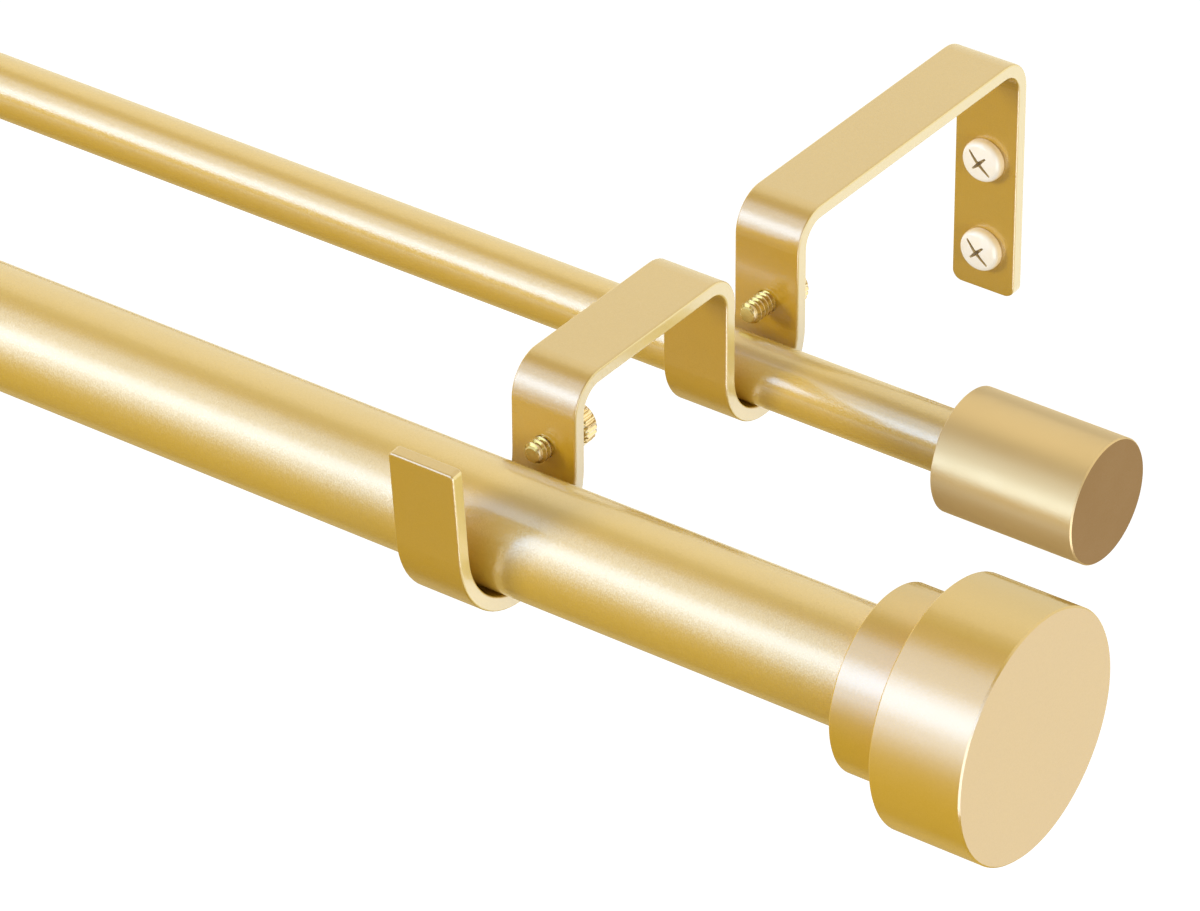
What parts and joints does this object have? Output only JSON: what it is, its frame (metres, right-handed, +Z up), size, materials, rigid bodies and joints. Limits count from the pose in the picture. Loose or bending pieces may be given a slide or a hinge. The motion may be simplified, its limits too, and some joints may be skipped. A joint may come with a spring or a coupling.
{
  "type": "double curtain pole",
  "caption": "Telescopic double curtain pole: a thick front pole with stepped turned finials and a thin back pole with plain cylinder finials, carried on bent strip wall brackets.",
  "frame": {"origin": "on the wall plane, midway between the two wall screws of the right bracket", "axes": "+X along the poles towards the end with the thick outer tubes, +Y from the room into the wall, +Z up"},
  "size_m": [0.7804, 0.2186, 0.0624],
  "materials": {
    "pole_paint": "champagne gold metallic paint with fine flake",
    "bracket_paint": "champagne gold metallic paint, smooth satin",
    "front_finial": "satin, gold anodised",
    "back_finial": "satin, fine turned",
    "wall_screw": "pale, polished",
    "retaining_screw": "pale, polished, knurled head",
    "nylon": "matte",
    "stud": "plain"
  },
  "bodies": {
    "fixed_half": {"bracket_right": "bracket_paint", "wall_screw_right_upper": "wall_screw", "wall_screw_right_lower": "wall_screw", "retaining_screw_right_front": "retaining_screw", "retaining_screw_right_back": "retaining_screw", "front_outer_tube": "pole_paint", "front_mouth_bush": "nylon", "front_insert_right": "nylon", "front_stud_right": "stud", "front_finial_right": "front_finial", "back_outer_tube": "pole_paint", "back_mouth_bush": "nylon", "back_insert_right": "nylon", "back_stud_right": "stud", "back_finial_right": "back_finial"},
    "sliding_half": {"bracket_left": "bracket_paint", "wall_screw_left_upper": "wall_screw", "wall_screw_left_lower": "wall_screw", "retaining_screw_left_front": "retaining_screw", "retaining_screw_left_back": "retaining_screw", "front_inner_tube": "pole_paint", "front_guide_plug": "nylon", "front_insert_left": "nylon", "front_stud_left": "stud", "front_finial_left": "front_finial", "back_inner_tube": "pole_paint", "back_guide_plug": "nylon", "back_insert_left": "nylon", "back_stud_left": "stud", "back_finial_left": "back_finial"}
  },
  "joints": [
    {"name": "telescope", "type": "slide", "parent": "fixed_half", "child": "sliding_half", "axis": [-1, 0, 0], "range_m": [0, 0.4572]}
  ]
}
